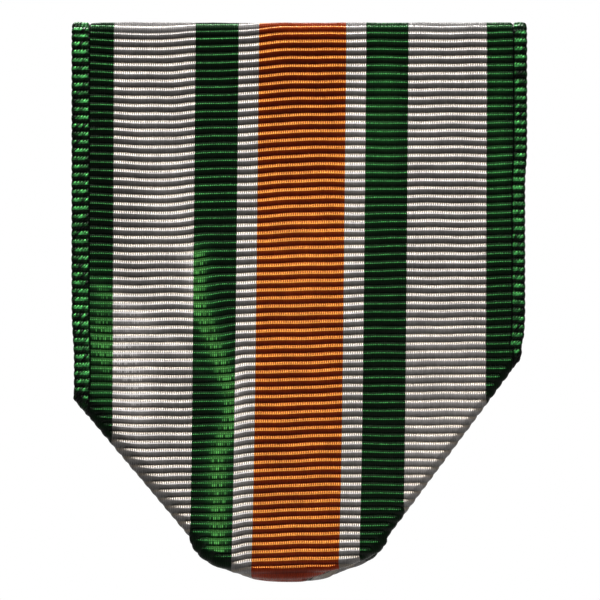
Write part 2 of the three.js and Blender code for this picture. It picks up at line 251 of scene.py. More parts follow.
def fade_width(x, z):
    """How far in from the folds the painted shade takes to give way, at the bottom and on the two
    diagonals.
    """
    middle = 0.75
    left = np.interp(z, (-36.2, -35.8, -34.2, -32.5), (1.9, 0.25, 0.35, 1.2))
    right = np.interp(z, (-36, -35.2, -34.5), (1.3, 0.8, 0.45))
    return middle + fade(x, -4.4, -5.2) * (left - middle) + fade(x, 3.2, 4.0) * (right - middle)


def painted_light_at(x, z):
    """Painted light and shade: above 0 where the ribs are painted brighter than elsewhere, and below 0
    where they are painted in shade.
    """
    # Painted light along the soft crease, in the band of glints and on the top roll, and in the listed
    # patches.
    crease = fade(z, -36, -32) * fade(z, -13, -17) * hill(crease_distance(x, z), 1.0)
    glint = fade(z, -11.5, -13.5) * hill(glint_distance(x, z), 1.05)
    roll = fade(z, TOP_Z - 1.0, TOP_Z - 0.2)
    total = np.maximum(0.35 * crease, 0.9 * glint) + 0.4 * roll
    for patch_x, patch_z, wide, high, strength in PAINTED_LIGHT_PATCHES:
        total = total + strength * hill(x - patch_x, wide) * hill(z - patch_z, high)
    # Painted shade near the folds, where the ribs turn away from the light.
    painted_fold_shade = fade(outline_distance(x, z), FOLD_SHADE + fade_width(x, z), FOLD_SHADE)
    return total * (1 - painted_fold_shade) - painted_fold_shade


# ---- The outline of the folded drape ----


def diagonal(side):
    """A diagonal fold's lower corner and its direction out to the shoulder. side is -1 left, 1 right."""
    corner = np.array([LOWER_LEFT_X if side < 0 else LOWER_RIGHT_X, LOWER_CORNER_Z])
    shoulder = np.array([side * HALF_WIDTH, LEFT_SHOULDER_Z if side < 0 else RIGHT_SHOULDER_Z])
    direction = (shoulder - corner) / np.linalg.norm(shoulder - corner)
    return corner, direction


def outline_points():
    """The lower outline from the left to the right. The diagonals run on past the ribbon's edges."""
    (left, left_way), (right, right_way) = diagonal(-1), diagonal(1)
    turn = np.linspace(math.pi, 2 * math.pi, ARC_POINTS)
    x = ARC_MIDDLE_X + ARC_HALF_WIDTH * np.cos(turn)
    z = LOWER_CORNER_Z - ARC_HEIGHT * np.abs(np.sin(turn)) ** ARC_POWER
    arc = np.stack([x, z], 1)
    return np.concatenate([[left + DIAGONAL_RUN * left_way], arc, [right + DIAGONAL_RUN * right_way]])


def outline_distance(x, z):
    """How far each place is from the lower outline."""
    points = outline_points()
    start, way = points[:-1], points[1:] - points[:-1]
    nearest = np.full(np.shape(x), np.inf)
    for (a, b), (c, d) in zip(start, way):
        share = np.clip(((x - a) * c + (z - b) * d) / (c * c + d * d), 0, 1)
        nearest = np.minimum(nearest, np.hypot(x - a - share * c, z - b - share * d))
    return nearest


def woven_edge(side, z):
    """x of the ribbon's own left or right edge at height z: it draws in a little towards its shoulder."""
    drawn_in = 0.18 * fade(z, -17.5, -21.5)
    if side > 0:
        drawn_in = drawn_in + 0.15 * fade(z, -5, -8) + 0.3 * fade(z, -19.3, -21.1)
    return side * (HALF_WIDTH - drawn_in)


def panel_side(side, z):
    """x of the flat panels' left or right side at height z, and whether that is the woven edge."""
    corner, way = diagonal(side)
    inward = np.array([-side * way[1], side * way[0]])
    start = corner + DIAGONAL_INSET * inward
    fold = start[0] + (z - start[1]) * way[0] / way[1]
    down = np.clip((LOWER_CORNER_Z - z) / (ARC_HEIGHT - ARC_INSET), 0, 1)
    arc = ARC_MIDDLE_X + side * (ARC_HALF_WIDTH - ARC_INSET) * np.sqrt(1 - down**2)
    fold = fold + (arc - fold) * fade(z, LOWER_CORNER_Z + 0.4, LOWER_CORNER_Z - 0.8)
    edge = woven_edge(side, z)
    woven = side * edge <= side * fold
    return np.where(woven, edge, fold), woven


def column_shares():
    """Where the mesh's columns lie across the ribbon, from 0 at its left edge to 1."""
    left = np.concatenate([EDGE_COLUMNS, LEFT_SELVEDGE + np.array(JOIN_COLUMNS)])
    right = 2 * HALF_WIDTH - np.concatenate([EDGE_COLUMNS, RIGHT_SELVEDGE + np.array(JOIN_COLUMNS)])[::-1]
    middle = np.linspace(left[-1], right[0], MIDDLE_COLUMNS + 1)[1:-1]
    return np.concatenate([left, middle, right]) / (2 * HALF_WIDTH)


def row_places(start, end):
    """The mesh's rows, which cross every rib in the same places: distances down the strip, and in ribs."""
    ribs = np.arange(math.floor(start / RIB_PITCH) - 1, math.ceil(end / RIB_PITCH) + 2)
    v = (ribs[:, None] + np.array(RIB_ROWS)).ravel()
    s = rib_place(v)
    inside = (s > start + FIRST_ROW_GAP) & (s < end - LAST_ROW_GAP)
    ends = np.interp([start, end], s, v)
    return np.concatenate([[start], s[inside], [end]]), np.concatenate([ends[:1], v[inside], ends[1:]])


def panel_grid(s_rows, shares):
    """x, s with the sag added, and u of each row and column, and which rows end in a woven edge."""
    s = np.repeat(s_rows[:, None], len(shares), 1)
    x = (2 * shares[None, :] - 1) * HALF_WIDTH + 0 * s
    for _ in range(4):  # x and the sag depend on each other, and settle in a few rounds
        z = ROLL_Z - np.maximum(s + sag(x, s), 0)
        left, left_woven = panel_side(-1, z[:, 0])
        right, right_woven = panel_side(1, z[:, -1])
        x = left[:, None] + (right - left)[:, None] * shares[None, :]
    near_left = np.clip(1 - shares / PINNED_SHARE, 0, 1)[None, :]
    near_right = np.clip(1 - (1 - shares) / PINNED_SHARE, 0, 1)[None, :]
    u = x + stripe_shift(x, z)
    u = u + (-HALF_WIDTH - u[:, :1]) * near_left * left_woven[:, None]
    u = u + (HALF_WIDTH - u[:, -1:]) * near_right * right_woven[:, None]
    return x, s + sag(x, s), np.clip(u, -HALF_WIDTH, HALF_WIDTH), (left_woven, right_woven)


# ---- The weave's relief ----
draws = np.random.default_rng(seed=7)
RIB_COUNT = 400
RIB_SWELL = draws.uniform(-1, 1, RIB_COUNT)
RIB_WAVE = draws.uniform(0, 2 * math.pi, (3, RIB_COUNT))


def weave_height(u, v):
    """0 in the grooves and about 1 on the crests of the ribs. u is across in mm, v along in ribs."""
    off_edge = HALF_WIDTH - np.abs(u)
    width = np.where(u < 0, LEFT_SELVEDGE, RIGHT_SELVEDGE)
    selvedge = fade(off_edge, width + SELVEDGE_BLEND, width - SELVEDGE_BLEND)
    place = v + np.where(u < 0, LEFT_OFFSET, RIGHT_OFFSET) * selvedge
    rib = np.floor(place).astype(int) % RIB_COUNT
    # Each rib has its own height, swells and thins along its length, and is knobbly in the selvedges.
    crest = np.abs(np.sin(math.pi * place)) ** (RIB_ROUNDNESS - 0.15 * selvedge)
    wave = np.sin(1.1 * u + RIB_WAVE[0][rib]) + 0.6 * np.sin(2.9 * u + RIB_WAVE[1][rib])
    knobs = np.sin(2 * math.pi * off_edge / SELVEDGE_KNOBS + RIB_WAVE[2][rib])
    swell = 1 + 0.09 * RIB_SWELL[rib] + 0.07 * wave + 0.14 * selvedge * (1 + knobs)
    groove_at_join = 0.7 * hill(off_edge - width, 0.09)
    return crest * swell * (1 - groove_at_join)


def rounded(distance, radius):
    """Rises from 0 at an edge to 1 at radius from it, as a quarter circle."""
    return np.sqrt(1 - (1 - np.clip(distance / radius, 0, 1)) ** 2)


def half_thickness(u, v, outside, to_end):
    """Half the sheet's thickness, to its outside or its inside, to_end from its cut end."""
    crest = HALF_CREST if outside else HALF_INNER
    full = HALF_GROOVE + (crest - HALF_GROOVE) * weave_height(u, v)
    return full * rounded(HALF_WIDTH - np.abs(u), EDGE_ROUND) * rounded(to_end, CUT_ROUND)


def loop_out(u, v):
    """How far the weft's loops push the ribbon's two edges out, along x."""
    near_edge = fade(HALF_WIDTH - np.abs(u), LOOP_IN, 0)
    loops = np.abs(np.sin(math.pi * (v + np.where(u < 0, LEFT_OFFSET, RIGHT_OFFSET))))
    return np.sign(u) * LOOP_OUT * near_edge * loops


# ---- Making objects ----


def add_object(name, data):
    """Puts a new object with this mesh, lamp or camera into the scene."""
    made = bpy.data.objects.new(name, data)
    bpy.context.scene.collection.objects.link(made)
    return made


def new_mesh(name, points, faces):
    """A mesh from points in millimetres and the faces between them."""
    mesh = bpy.data.meshes.new(name)
    mesh.from_pydata((points * MM).tolist(), [], faces)
    return mesh


def finish_mesh(mesh):
    """Leaves out points that no face uses, turns all faces outward and shades them smooth."""
    work = bmesh.new()
    work.from_mesh(mesh)
    unused = [v for v in work.verts if not v.link_faces]
    bmesh.ops.delete(work, geom=unused, context="VERTS")
    bmesh.ops.recalc_face_normals(work, faces=work.faces)
    work.to_mesh(mesh)
    work.free()
    mesh.shade_smooth()


# ---- The ribbon's mesh ----


class Sheet:
    """Vertices with their places on the flat ribbon, and the faces between them."""

    def __init__(self):
        self.points, self.woven, self.sheen, self.faces, self.count = [], [], [], [], 0

    def add(self, x, y, z, u, v, sheen):
        """Adds vertices and returns their numbers, in the same grid."""
        shape = np.shape(x)
        self.sheen.append(np.broadcast_to(sheen, shape).ravel())
        self.points.append(np.stack([np.broadcast_to(a, shape).ravel() for a in (x, y, z)], 1))
        self.woven.append(np.stack([np.broadcast_to(a, shape).ravel() for a in (u, v)], 1))
        numbers = np.arange(self.count, self.count + np.size(x)).reshape(shape)
        self.count += np.size(x)
        return numbers

    def fill(self, numbers):
        """Adds the four-sided faces of a grid of vertices."""
        quads = [numbers[:-1, :-1], numbers[:-1, 1:], numbers[1:, 1:], numbers[1:, :-1]]
        self.faces.extend(np.stack([q.ravel() for q in quads], 1).tolist())

    def piece(self, name):
        """The Blender object, with the places on the flat ribbon as a UV map and the painted light and
        shade as a value.
        """
        mesh = new_mesh(name, np.concatenate(self.points), self.faces)
        corner_vertex = np.zeros(len(mesh.loops), int)
        mesh.loops.foreach_get("vertex_index", corner_vertex)
        flat = mesh.uv_layers.new(name="weave")
        flat.data.foreach_set("uv", np.concatenate(self.woven)[corner_vertex].ravel())
        sheen = mesh.attributes.new("sheen", "FLOAT", "POINT")
        sheen.data.foreach_set("value", np.concatenate(self.sheen))
        finish_mesh(mesh)
        return add_object(name, mesh)


def add_panel(sheet, rows, shares, back, outside):
    """Adds the front strip (the hem, the roll and the front panel) or the back panel."""
    s_rows, v_rows = rows
    x, s, u, woven = panel_grid(s_rows, shares)
    v = np.repeat(v_rows[:, None], len(shares), 1)
    if back:
        y, z, normal_y, normal_z = BACK_Y, ROLL_Z - s, 1.0, 0.0
        to_end = s_rows[:, None] - BACK_TOP
    else:
        y, z, normal_y, normal_z = strip_point(s)
        y = y - drape_wave(x, z) * (s > 0)
        to_end = s_rows[:, None] - STRIP_START
    stand = half_thickness(u, v, outside, to_end) * (1 if outside else -1)
    # The front panel gets painted light and shade; the back panel none.
    sheen = 0.0 if back else painted_light_at(x, z)
    places = (x + loop_out(u, v), y + normal_y * stand, z + normal_z * stand)
    numbers = sheet.add(*places, u, v, sheen)
    return {"numbers": numbers, "x": x, "z": z, "u": u, "v": v}, woven


def lower_edge(panel, woven):
    """A panel's lower boundary, from its left shoulder down, along its last row, and up to the right."""
    left_start, right_start = (np.max(np.nonzero(rows)) for rows in woven)
    last, last_column = (n - 1 for n in panel["x"].shape)
    rows = np.concatenate([
        np.arange(left_start, last),
        np.full(last_column + 1, last),
        np.arange(last - 1, right_start - 1, -1),
    ])
    places = np.concatenate([
        np.zeros(last - left_start, int),
        np.arange(last_column + 1),
        np.full(last - right_start, last_column),
    ])
    edge = {name: values[rows, places] for name, values in panel.items()}
    return edge | {"left_start": left_start, "right_start": right_start}


def ray_reach(start, way, outline):
    """How far each ray runs from its start to the outline."""
    slack = 1e-9
    a, b = outline[:-1], outline[1:] - outline[:-1]
    cross = way[:, None, 0] * b[None, :, 1] - way[:, None, 1] * b[None, :, 0]
    gap = a[None] - start[:, None]
    along = (gap[..., 0] * b[None, :, 1] - gap[..., 1] * b[None, :, 0]) / cross
    share = (gap[..., 0] * way[:, None, 1] - gap[..., 1] * way[:, None, 0]) / cross
    hit = (along > 0) & (share >= -slack) & (share <= 1 + slack)
    return np.where(hit, along, np.inf).min(1)


def rim_section(reach, flapped):
    """How far out and how deep one layer runs, step by step, from each place on a panel's lower edge.

    Where flapped is 1, it folds over and runs back in behind its panel, as a turned-in corner.
    Where flapped is 0, it rounds the bottom until it meets the other layer.
    """
    reach, flapped = reach[:, None], flapped[:, None]
    to_middle = MIDDLE_Y - FRONT_Y
    turn = np.linspace(0, math.pi, FOLD_STEPS)[None, :]
    share = np.array(FLAP_SHARES)[None, :]
    fold_out = reach - FOLD_R + FOLD_R * np.sin(turn)
    fold_in = FOLD_R * (1 - np.cos(turn)) + 0 * reach
    flap_out = reach - FOLD_R - (LEAST_FLAP + FLAP_DEPTH * flapped) * share
    flap_in = 2 * FOLD_R + (to_middle - FLAP_GAP - 2 * FOLD_R) * share + 0 * reach
    flapped_out = np.concatenate([0 * reach, fold_out, flap_out], 1)
    flapped_in = np.concatenate([0 * reach, fold_in, flap_in], 1)
    bend = BOTTOM_BEND * np.minimum(reach, 1)
    bottom = np.linspace(0, BOTTOM_TURN, FOLD_STEPS + len(FLAP_SHARES))[None, :]
    round_out = np.concatenate([0 * reach, reach - bend + bend * np.sin(bottom)], 1)
    round_in = np.concatenate([0 * reach, to_middle * (1 - np.cos(bottom)) + 0 * reach], 1)
    return round_out + flapped * (flapped_out - round_out), round_in + flapped * (flapped_in - round_in)


def rim_places(start):
    """What the fold does at each place on the panels' lower edge, from the left shoulder to the right.

    across is -1 at the left lower corner and beyond it, and 1 at the right one.
    """
    across = np.clip((start[:, 0] - ARC_MIDDLE_X) / ARC_HALF_WIDTH, -1, 1)
    left_way, right_way = diagonal(-1)[1], diagonal(1)[1]
    left_angle = math.atan2(left_way[1], -left_way[0])
    right_angle = math.atan2(right_way[1], right_way[0])
    angle = np.where(across < 0, -left_angle, right_angle) * np.abs(across)
    outward = np.stack([np.sin(angle), -np.cos(angle)], 1)

    # The strip runs straight down off the panels at the shoulders, and outward everywhere else.
    walked = np.concatenate([[0], np.cumsum(np.hypot(*np.diff(start, axis=0).T))])
    turned = fade(np.minimum(walked, walked[-1] - walked), 0, SHOULDER_RUN)[:, None]
    way = np.array([0.0, -1.0]) * (1 - turned) + outward * turned
    return SimpleNamespace(
        outward=outward,
        sideways=np.stack([-outward[:, 1], outward[:, 0]], 1),
        way=way / np.linalg.norm(way, axis=1)[:, None],
        reach=ray_reach(start, outward, outline_points()),
        flapped=fade(np.abs(across), ROUND_SHARE, TURNED_SHARE),
        peek=PEEK * fade(across, 0.1, 0.4) * fade(across, 0.95, 0.7),
        shifted=TURNED_IN_SHIFT * fade(across, 0.12, 0.22) * fade(across, 0.76, 0.68),
    )


def rim_half(edge, rim, reach, depth_line, outside):
    """x, y, z, u and v of one layer's half of the rim. depth_line is its panel's y and its way in."""
    out, deep = rim_section(reach, rim.flapped)
    steps = np.hypot(np.diff(out, axis=1), np.diff(deep, axis=1))
    arc = np.concatenate([0 * reach[:, None], np.cumsum(steps, 1)], 1)
    run_out, run_deep = np.gradient(out, axis=1), np.gradient(deep, axis=1)
    size = np.hypot(run_out, run_deep)

    # Where the strip goes on: the stripes run on straight, apart from the shift of the turned-in corner.
    woven = arc / (rim.way * rim.outward).sum(1)[:, None]
    past_fold = fade(arc - reach[:, None], 0.12, 0.22)
    u = edge["u"][:, None] + woven * rim.way[:, :1] + rim.shifted[:, None] * past_fold
    u = np.clip(u, -HALF_WIDTH, HALF_WIDTH)
    u[0], u[-1] = -HALF_WIDTH, HALF_WIDTH
    v = edge["v"][:, None] - woven * rim.way[:, 1:] / RIB_PITCH

    # The ribs are flatter round the folds, and both sides of a turned-in corner are pressed together.
    flatter = 0.55 * fade(arc, 0, 0.5)
    inside_flap = fade(arc - rim.reach[:, None], 2 * FOLD_R, 2 * FOLD_R + 0.8) * rim.flapped[:, None]
    stand = half_thickness(u, v, outside, 1.0) * (1 - flatter) + HALF_GROOVE * flatter
    stand = stand * (1 - 0.5 * inside_flap) * (1 if outside else -1)
    slide = woven * (rim.way * rim.sideways).sum(1)[:, None]
    out = out + run_deep / size * stand
    deep = deep - run_out / size * stand
    x = edge["x"][:, None] + slide * rim.sideways[:, :1] + out * rim.outward[:, :1] + loop_out(u, v)
    z = edge["z"][:, None] + slide * rim.sideways[:, 1:] + out * rim.outward[:, 1:]
    panel_y, way_in = depth_line
    return [a[:, 1:] for a in (x, panel_y + way_in * deep, z, u, v)]


def add_rim(sheet, front, back, outside, ends=None):
    """Joins the two panels along the lower edge, turned in behind each diagonal and round the bottom."""
    rim = rim_places(np.stack([front["x"], front["z"]], 1))
    front_half = rim_half(front, rim, rim.reach - rim.peek, (FRONT_Y, 1), outside)
    back_half = rim_half(back, rim, rim.reach, (BACK_Y, -1), outside)
    both = [np.concatenate([a, b[:, ::-1]], 1) for a, b in zip(front_half, back_half)]
    # The whole rim round the lower folds gets full painted shade.
    numbers = sheet.add(*both, -1.0)
    if ends is not None:
        numbers[0], numbers[-1] = ends
    sheet.fill(np.concatenate([front["numbers"][:, None], numbers, back["numbers"][:, None]], 1))
    return numbers


def share_edges(inner, outer, edge):
    """The inner side's grid uses the outer side's vertices along the two woven edges."""
    rows = np.arange(len(inner))
    for column, start in ((0, edge["left_start"]), (-1, edge["right_start"])):
        shared = rows <= start
        inner[shared, column] = outer[shared, column]


def fill_cut_end(sheet, outer_row, inner_row, columns):
    """Closes a cut end between the outer side's many columns and the inner side's few."""
    for i in range(len(columns) - 1):
        outer_part = outer_row[columns[i]: columns[i + 1] + 1].tolist()
        sheet.faces.append(outer_part + [inner_row[i + 1], inner_row[i]])


def woven_ribbon():
    """The whole ribbon as one closed sheet with ribs on both its sides."""
    sheet = Sheet()
    shares = column_shares()
    edge_count = len(EDGE_COLUMNS) + len(JOIN_COLUMNS)
    near = np.array(INNER_EDGE_COLUMNS)
    middle = np.arange(edge_count - 1, len(shares) - edge_count + 1, INNER_STEP)
    columns = np.concatenate([near, middle, len(shares) - 1 - near[::-1]])
    front_rows = row_places(STRIP_START, STRIP_LAST)
    back_rows = row_places(BACK_TOP, STRIP_LAST)

    edges, grids = {}, {}
    for outside in (True, False):
        used = shares if outside else shares[columns]
        for back, rows in ((False, front_rows), (True, back_rows)):
            panel, woven = add_panel(sheet, rows, used, back, outside)
            grids[back, outside] = panel["numbers"]
            edges[back, outside] = lower_edge(panel, woven)
    for back in (False, True):
        inner, outer, edge = grids[back, False], grids[back, True], edges[back, False]
        share_edges(inner, outer, edge)
        edge["numbers"][0] = outer[edge["left_start"], 0]
        edge["numbers"][-1] = outer[edge["right_start"], -1]
        sheet.fill(outer)
        sheet.fill(inner[1:])
        fill_cut_end(sheet, outer[0], inner[1], columns)
    rim = add_rim(sheet, edges[False, True], edges[True, True], True)
    add_rim(sheet, edges[False, False], edges[True, False], False, (rim[0], rim[-1]))
    return sheet.piece("woven_ribbon")


# ---- Material building ----


class Nodes:
    """A short way to build one material's node tree."""

    def __init__(self, name):
        self.material = bpy.data.materials.new(name)
        self.material.use_nodes = True
        self.tree = self.material.node_tree
        self.shader = self.tree.nodes["Principled BSDF"]

    def node(self, kind, **settings):
        """A new node with these settings."""
        made = self.tree.nodes.new(kind)
        for key, value in settings.items():
            setattr(made, key, value)
        return made

    def link(self, value, socket):
        """Gives a socket another node's output, or a plain value."""
        if isinstance(value, bpy.types.NodeSocket):
            self.tree.links.new(value, socket)
        else:
            socket.default_value = value

    def math(self, operation, *values):
        made = self.node("ShaderNodeMath", operation=operation)
        for socket, value in zip(made.inputs, values):
            self.link(value, socket)
        return made.outputs[0]

    def plus(self, first, *others):
        for other in others:
            first = self.math("ADD", first, other)
        return first

    def times(self, first, *others):
        for other in others:
            first = self.math("MULTIPLY", first, other)
        return first

    def minus(self, a, b):
        return self.math("SUBTRACT", a, b)

    def blend(self, share, a, b):
        """The number a where share is 0, b where it is 1, and evenly between."""
        made = self.node("ShaderNodeMix", data_type="FLOAT")
        for socket, value in ((0, share), (2, a), (3, b)):
            self.link(value, made.inputs[socket])
        return made.outputs[0]

    def mix(self, share, a, b, kind="MIX"):
        """The colour a where share is 0, b where it is 1, and evenly between."""
        made = self.node("ShaderNodeMix", data_type="RGBA", blend_type=kind)
        for socket, value in ((0, share), (6, a), (7, b)):
            self.link(value, made.inputs[socket])
        return made.outputs[2]

    def tinted(self, colour, tint):
        """The two colours multiplied."""
        return self.mix(1.0, colour, tint, "MULTIPLY")

    def range(self, value, low, high, to_low=0.0, to_high=1.0):
        """An even step from to_low, where value is at low, to to_high where it is at high."""
        made = self.node("ShaderNodeMapRange", interpolation_type="SMOOTHSTEP")
        limits = {"Value": value, "From Min": low, "From Max": high, "To Min": to_low, "To Max": to_high}
        for name, number in limits.items():
            self.link(number, made.inputs[name])
        return made.outputs["Result"]

    def bands(self, value, places, colours):
        """Bands with sharp borders: each colour holds from its own place to the next."""
        made = self.node("ShaderNodeValToRGB")
        made.color_ramp.interpolation = "CONSTANT"
        points = made.color_ramp.elements
        while len(points) < len(places):
            points.new(1.0)
        for point, place, colour in zip(points, places, colours):
            point.position = place
            point.color = (*colour, 1)
        self.link(value, made.inputs[0])
        return made.outputs[0]

    def stretched(self, where, scale):
        """Coordinates multiplied by another number along each axis."""
        made = self.node("ShaderNodeMapping")
        made.inputs["Scale"].default_value = scale
        self.link(where, made.inputs["Vector"])
        return made.outputs[0]

    def noise(self, where, scale, detail=3.0, roughness=0.5):
        made = self.node("ShaderNodeTexNoise")
        self.link(where, made.inputs["Vector"])
        for name, number in (("Scale", scale), ("Detail", detail), ("Roughness", roughness)):
            made.inputs[name].default_value = number
        return made.outputs["Fac"]

    def random(self, *values):
        """A steady random number for each pair of whole numbers. A third number makes it another one."""
        joined = self.node("ShaderNodeCombineXYZ")
        for socket, value in zip(joined.inputs, values):
            self.link(value, socket)
        made = self.node("ShaderNodeTexWhiteNoise", noise_dimensions="3D")
        self.link(joined.outputs[0], made.inputs["Vector"])
        return made.outputs["Value"]

    def bump(self, height, depth, below=None):
        """A relief of this depth in metres, on top of another one where below is given."""
        made = self.node("ShaderNodeBump")
        made.inputs["Strength"].default_value = 1.0
        made.inputs["Distance"].default_value = depth
        self.link(height, made.inputs["Height"])
        if below is not None:
            self.link(below, made.inputs["Normal"])
        return made.outputs["Normal"]

    def finish(self, **sockets):
        """Sets the shader's sockets, which are named here with underscores, and returns the material."""
        for name, value in sockets.items():
            self.link(value, self.shader.inputs[name.replace("_", " ").title()])
        return self.material


# ---- Ribbon material ----
WHITE = (0.84, 0.79, 0.76)
GREEN = (0.06, 0.33, 0.08)
# the yellower green of the painted glints
GREEN_GLINT = (0.13, 0.37, 0.06)
ORANGE = (0.82, 0.325, 0.06)
WHITE_SHADE = (0.68, 0.63, 0.59)  # the same threads where they turn away from the light
GREEN_SHADE = (0.004, 0.03, 0.007)
ORANGE_SHADE = (0.72, 0.06, 0.003)
PAINTED_LIT_TINT = (1.04, 0.97, 0.86, 1)  # the painted tints of a rib's lit upper side and of its shaded lower side
PAINTED_SHADE_TINT = (0.96, 0.99, 1.04, 1)


def weave_places(n):
    """Each point's place on the flat ribbon, in its rib and in its warp thread."""
    flat = n.node("ShaderNodeUVMap", uv_map="weave").outputs[0]
    split = n.node("ShaderNodeSeparateXYZ")
    n.link(flat, split.inputs[0])
    across, along = split.outputs[0], split.outputs[1]
    off_middle = n.math("ABSOLUTE", across)
    right = n.math("GREATER_THAN", across, 0.0)
    border = n.blend(right, HALF_WIDTH - LEFT_SELVEDGE, HALF_WIDTH - RIGHT_SELVEDGE)
    selvedge = n.math("GREATER_THAN", off_middle, border)
    rib_place = n.plus(along, n.times(selvedge, n.blend(right, LEFT_OFFSET, RIGHT_OFFSET)))
    phase = n.math("FRACT", rib_place)
    thread_place = n.math("DIVIDE", across, n.blend(selvedge, WARP_PITCH, SELVEDGE_THREAD))
    thread_place = n.plus(thread_place, n.times(selvedge, phase, SELVEDGE_SLANT))
    return SimpleNamespace(
        flat=flat,
        across=across,
        along=along,
        off_middle=off_middle,
        border=border,
        selvedge=selvedge,
        rib=n.math("FLOOR", rib_place),
        phase=phase,
        thread=n.math("FLOOR", thread_place),
        thread_round=n.math("SINE", n.times(n.math("FRACT", thread_place), math.pi)),
    )


def stripe_bands(n, off_middle):
    """The stripes' colours in the light, their colours in the shade, and 1 where they are green."""
    places = [reach / HALF_WIDTH for reach in (0, *STRIPES)]
    lit = (ORANGE, WHITE, GREEN, WHITE, GREEN)
    shade = (ORANGE_SHADE, WHITE_SHADE, GREEN_SHADE, WHITE_SHADE, GREEN_SHADE)
    green = [(1.0, 1.0, 1.0) if colour is GREEN else (0.0, 0.0, 0.0) for colour in lit]
    place = n.math("DIVIDE", off_middle, HALF_WIDTH)
    return [n.bands(place, places, colours) for colours in (lit, shade, green)]


def thread_brightness(n, weave):
    """How bright each warp thread is in each rib: even in the stripes and tangled in the selvedges."""
    chance = n.random(weave.thread, weave.rib)
    stripes = n.plus(0.9, n.times(chance, 0.16))
    uneven = n.plus(stripes, n.times(weave.selvedge, n.minus(chance, 1.18), 0.75))
    tangle = n.noise(n.stretched(weave.flat, (5.0, 3.2, 1.0)), 1.0, roughness=0.7)
    tangled = n.blend(weave.selvedge, 1.0, n.range(tangle, 0.36, 0.64, 0.4, 1.55))
    cloud = n.range(n.noise(weave.flat, 0.35), 0.3, 0.7, 0.88, 1.1)
    return n.times(uneven, tangled, cloud)


def rib_light(n, weave, green, painted_light_level):
    """The painted light and shade on each point of a rib, which scales its colour. Heights in a rib run
    from 0 at its top to 1.
    """
    phase, selvedge, thread_round = weave.phase, weave.selvedge, weave.thread_round
    # Toward the lower right, outside the green, the painted highlight line is narrower and the painted
    # shade below it lighter.
    lower_right = n.times(n.range(weave.along, 28.0, 42.0), n.range(weave.across, 2.0, 9.0))
    lower_right = n.times(lower_right, n.minus(1.0, green))

    # The painted highlight line, where the threads would face the light. It is ragged above, thread by
    # thread.
    ragged = n.times(n.minus(1.0, thread_round), 0.17)
    ragged = n.plus(ragged, n.times(n.random(weave.thread, weave.rib, 5.0), 0.05))
    top = n.plus(ragged, n.blend(selvedge, 0.2, 0.08), n.times(green, 0.02), n.times(lower_right, 0.02))
    bottom = n.plus(n.blend(green, 0.38, 0.32), n.times(selvedge, 0.22), n.times(lower_right, -0.05))
    bottom = n.plus(bottom, n.times(painted_light_level, n.blend(green, 0.14, 0.05)))
    line = n.range(phase, top, n.plus(top, 0.06))
    line = n.times(line, n.range(phase, bottom, n.plus(bottom, 0.12), 1.0, 0.0))

    # Painted highlights on the threads' middles above the line too, as teeth. The green stripes hardly have
    # them. Line and teeth are dimmed where the folds are painted in shade.
    teeth = n.times(n.range(phase, -0.04, 0.18, 0.1, 0.95), n.range(phase, 0.32, 0.44, 1.0, 0.0))
    teeth = n.times(teeth, n.blend(n.math("POWER", thread_round, 3.0), 0.04, 1.0))
    teeth = n.times(teeth, n.blend(green, 1.0, 0.28))
    upper = n.times(n.math("MAXIMUM", line, teeth), n.range(painted_light_level, -1.0, -0.3, 0.22, 1.0))

    # A rib's lower side is painted dim, as in shade, apart from single threads with painted glints where
    # the rib is bent.
    under = n.plus(n.range(phase, 0.4, 0.97, 0.22, 0.14), n.times(selvedge, 0.12))
    under = n.times(under, n.range(painted_light_level, -0.4, 1.0, 0.7, 2.1), n.blend(lower_right, 1.0, 1.6))
    glint = n.times(n.range(phase, 0.42, 0.54), n.range(phase, 0.74, 0.9, 1.0, 0.0))
    glint = n.times(glint, n.range(painted_light_level, 0.4, 0.9), n.math("POWER", thread_round, 2.0))
    glint = n.times(glint, n.range(n.random(weave.thread, weave.rib, 3.0), 0.1, 0.7, 0.25, 1.0))
    glint = n.times(glint, n.blend(green, 1.0, 2.3))
    light = n.math("MAXIMUM", upper, n.math("MAXIMUM", under, glint))

    # Painted shade in the groove beside a selvedge, and the painted light dimmed along the ribbon's very
    # edge.
    from_join = n.math("ABSOLUTE", n.minus(weave.off_middle, weave.border))
    from_edge = n.minus(HALF_WIDTH, weave.off_middle)
    light = n.times(light, n.range(from_join, 0.02, 0.12, 0.25, 1.0))
    return n.times(light, n.range(from_edge, 0.12, 0.36, 0.55, 1.0))


def ribbon_material():
    """Striped corded silk: warp threads over the ribs, painted shade in the grooves, and a bright gloss
    that is partly real and partly a painted highlight.
    """
    n = Nodes("woven_ribbon")
    weave = weave_places(n)
    lit_stripes, shade_stripes, green = stripe_bands(n, weave.off_middle)
    painted_light_level = n.node("ShaderNodeAttribute", attribute_name="sheen").outputs["Fac"]
    light = rib_light(n, weave, green, painted_light_level)

    # Painted glints: the green turns yellower where the painted light is strong.
    glinting = n.times(green, n.range(painted_light_level, 0.3, 0.9, 0.0, 0.4))
    lit_stripes = n.mix(glinting, lit_stripes, (*GREEN_GLINT, 1))
    # The dye's lit and shaded colours mixed by the painted light, with painted warm and cool tints; the
    # painted light then scales the colour.
    dye_and_painted_light = n.mix(n.range(light, 0.1, 0.8), shade_stripes, lit_stripes)
    dye_and_painted_light = n.tinted(dye_and_painted_light, n.mix(n.range(weave.phase, 0.12, 0.45), PAINTED_LIT_TINT, PAINTED_SHADE_TINT))
    colour = n.tinted(dye_and_painted_light, n.times(thread_brightness(n, weave), light))
    roughness = n.plus(0.3, n.times(n.random(weave.thread, weave.rib, 9.0), 0.12))
    threads = n.bump(weave.thread_round, 0.034 * MM)
    n.shader.inputs["Specular IOR Level"].default_value = 0.1
    return n.finish(base_color=colour, roughness=roughness, metallic=0.3, normal=threads)


# ---- Thread and metal materials ----


